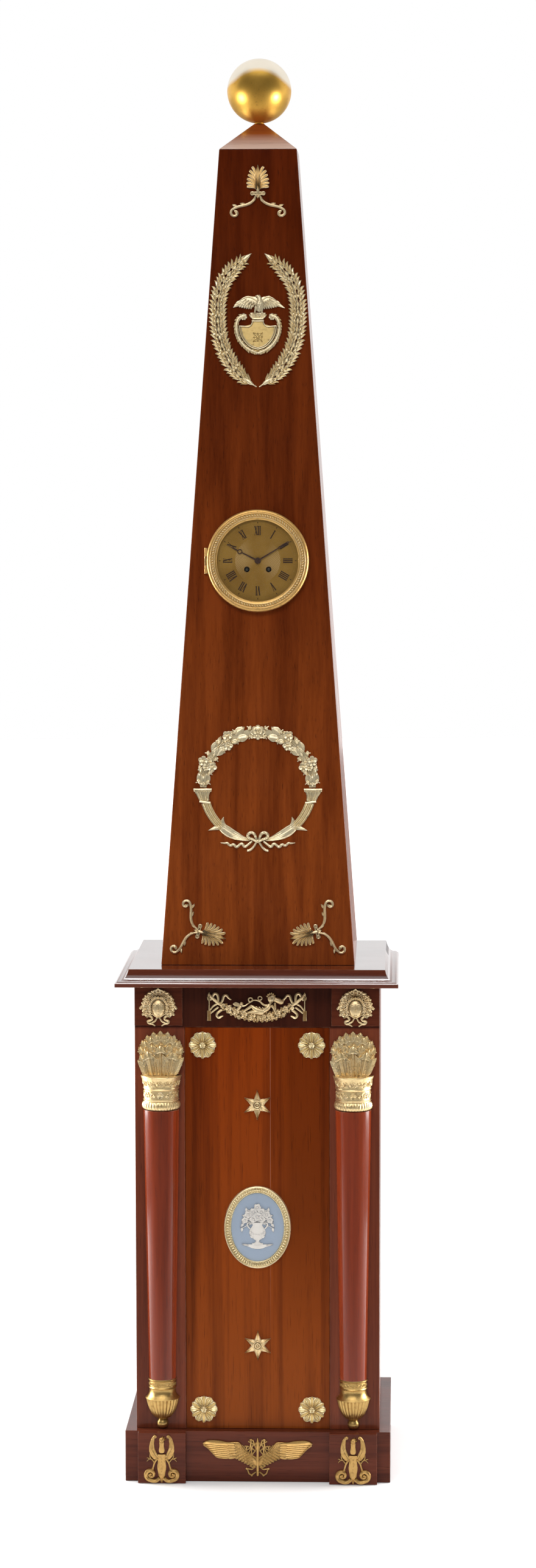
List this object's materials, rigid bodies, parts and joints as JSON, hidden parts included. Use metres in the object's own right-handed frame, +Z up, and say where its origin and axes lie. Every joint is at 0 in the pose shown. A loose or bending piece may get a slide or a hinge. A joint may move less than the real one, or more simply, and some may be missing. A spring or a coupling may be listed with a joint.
{
  "type": "obelisk floor clock",
  "caption": "Tall mahogany obelisk clock on a pedestal with quiver half-columns, gilt mounts, a hinged bezel and a ball finial.",
  "frame": {"origin": "on the floor under the middle of the clock's bounding box", "axes": "+Z up, the dial faces -Y, +X is to the viewer's right"},
  "size_m": [0.44, 0.3678, 2.2301],
  "materials": {
    "mahogany": "French polished, vertical grain",
    "dark_mahogany": "French polished, dark red-brown",
    "shaft_mahogany": "high gloss, deep red",
    "gilt_bronze": "cast and gilded, matt ground with burnished edges",
    "brass": "machined, satin",
    "steel": "machined",
    "blued_steel": "blued, polished",
    "glass": "clear",
    "cameo": "blue-grey ground with white relief, soft sheen"
  },
  "bodies": {
    "root": {"ball_finial": "gilt_bronze", "bell": "brass", "bezel_seat": "brass", "corner_palmette_left": "gilt_bronze", "corner_palmette_right": "gilt_bronze", "cornice_slab": "mahogany", "dial_plate": "brass", "door_hinge": "brass", "eagle_shield": "gilt_bronze", "frieze_block_left": "dark_mahogany", "frieze_block_right": "dark_mahogany", "frieze_mask_left": "gilt_bronze", "frieze_mask_right": "gilt_bronze", "frieze_swag": "gilt_bronze", "front_frame": "dark_mahogany", "front_panel": "mahogany", "laurel_branches": "gilt_bronze", "medallion_frame": "gilt_bronze", "medallion_plaque": "cameo", "movement_frame": "brass", "obelisk_cap": "dark_mahogany", "obelisk_front": "mahogany", "obelisk_side_left": "mahogany", "obelisk_side_right": "mahogany", "pedestal_back": "mahogany", "pedestal_side_left": "mahogany", "pedestal_side_right": "mahogany", "plinth": "dark_mahogany", "plinth_block_left": "dark_mahogany", "plinth_block_right": "dark_mahogany", "quiver_foot_left": "gilt_bronze", "quiver_foot_right": "gilt_bronze", "quiver_head_left": "gilt_bronze", "quiver_head_right": "gilt_bronze", "quiver_shaft_left": "shaft_mahogany", "quiver_shaft_right": "shaft_mahogany", "rosette_lower_left": "gilt_bronze", "rosette_lower_right": "gilt_bronze", "rosette_upper_left": "gilt_bronze", "rosette_upper_right": "gilt_bronze", "star_lower": "gilt_bronze", "star_upper": "gilt_bronze", "term_mount_left": "gilt_bronze", "term_mount_right": "gilt_bronze", "top_palmette": "gilt_bronze", "torch_wreath": "gilt_bronze", "winged_thunderbolt": "gilt_bronze"},
    "minute_hand": {"minute_hand": "blued_steel"},
    "hour_hand": {"hour_hand": "blued_steel"},
    "bezel": {"bezel_door": "gilt_bronze", "bezel_glass": "glass"},
    "going_arbor": {"going_arbor": "steel"},
    "strike_arbor": {"strike_arbor": "steel"},
    "going_barrel": {"going_barrel": "brass"},
    "strike_barrel": {"strike_barrel": "brass"},
    "escape_wheel": {"escape_wheel": "brass"},
    "pendulum": {"pendulum": "brass"},
    "anchor": {"anchor": "steel"},
    "hammer": {"hammer": "steel"},
    "back_door": {"back_door": "mahogany"}
  },
  "joints": [
    {"name": "minute_hand_turn", "type": "hinge", "parent": "root", "child": "minute_hand", "pos_m": [0, -0.06751, 1.44291], "axis": [0, 0.9978, -0.0664], "continuous": true},
    {"name": "hour_hand_turn", "type": "hinge", "parent": "root", "child": "hour_hand", "pos_m": [0, -0.06751, 1.44291], "axis": [0, 0.9978, -0.0664], "continuous": true},
    {"name": "bezel_hinge", "type": "hinge", "parent": "root", "child": "bezel", "pos_m": [-0.0833, -0.07115, 1.44315], "axis": [0, -0.0664, -0.9978], "range_deg": [0, 110]},
    {"name": "going_winding", "type": "hinge", "parent": "root", "child": "going_arbor", "pos_m": [0.017, -0.0684, 1.42943], "axis": [0, 0.9978, -0.0664], "range_deg": [0, 1980]},
    {"name": "strike_winding", "type": "hinge", "parent": "root", "child": "strike_arbor", "pos_m": [-0.017, -0.0684, 1.42943], "axis": [0, 0.9978, -0.0664], "range_deg": [0, 1980]},
    {"name": "going_barrel_turn", "type": "hinge", "parent": "root", "child": "going_barrel", "pos_m": [0.017, -0.0684, 1.42943], "axis": [0, 0.9978, -0.0664], "continuous": true},
    {"name": "strike_barrel_turn", "type": "hinge", "parent": "root", "child": "strike_barrel", "pos_m": [-0.017, -0.0684, 1.42943], "axis": [0, 0.9978, -0.0664], "continuous": true},
    {"name": "escape_wheel_turn", "type": "hinge", "parent": "root", "child": "escape_wheel", "pos_m": [0, -0.06638, 1.45987], "axis": [0, 0.9978, -0.0664], "continuous": true},
    {"name": "pendulum_swing", "type": "hinge", "parent": "root", "child": "pendulum", "pos_m": [0, -0.06552, 1.47284], "axis": [0, 0.9978, -0.0664], "range_deg": [-3.5, 3.5]},
    {"name": "anchor_rock", "type": "hinge", "parent": "root", "child": "anchor", "pos_m": [0, -0.06552, 1.47284], "axis": [0, 0.9978, -0.0664], "range_deg": [-3.5, 3.5]},
    {"name": "hammer_strike", "type": "hinge", "parent": "root", "child": "hammer", "pos_m": [0.0405, -0.06784, 1.43792], "axis": [0, 0.9978, -0.0664], "range_deg": [0, 12], "stiffness_Nm_per_rad": 0.01, "springref_deg": -17.19},
    {"name": "back_door_hinge", "type": "hinge", "parent": "root", "child": "back_door", "pos_m": [-0.1545, 0.1805, 0.8118], "axis": [0.0713, -0.0662, 0.9953], "range_deg": [0, 100]}
  ],
  "couplings": [
    {"joint": "hour_hand_turn", "follows": "minute_hand_turn", "ratio": 0.083333},
    {"joint": "anchor_rock", "follows": "pendulum_swing", "ratio": 1}
  ]
}
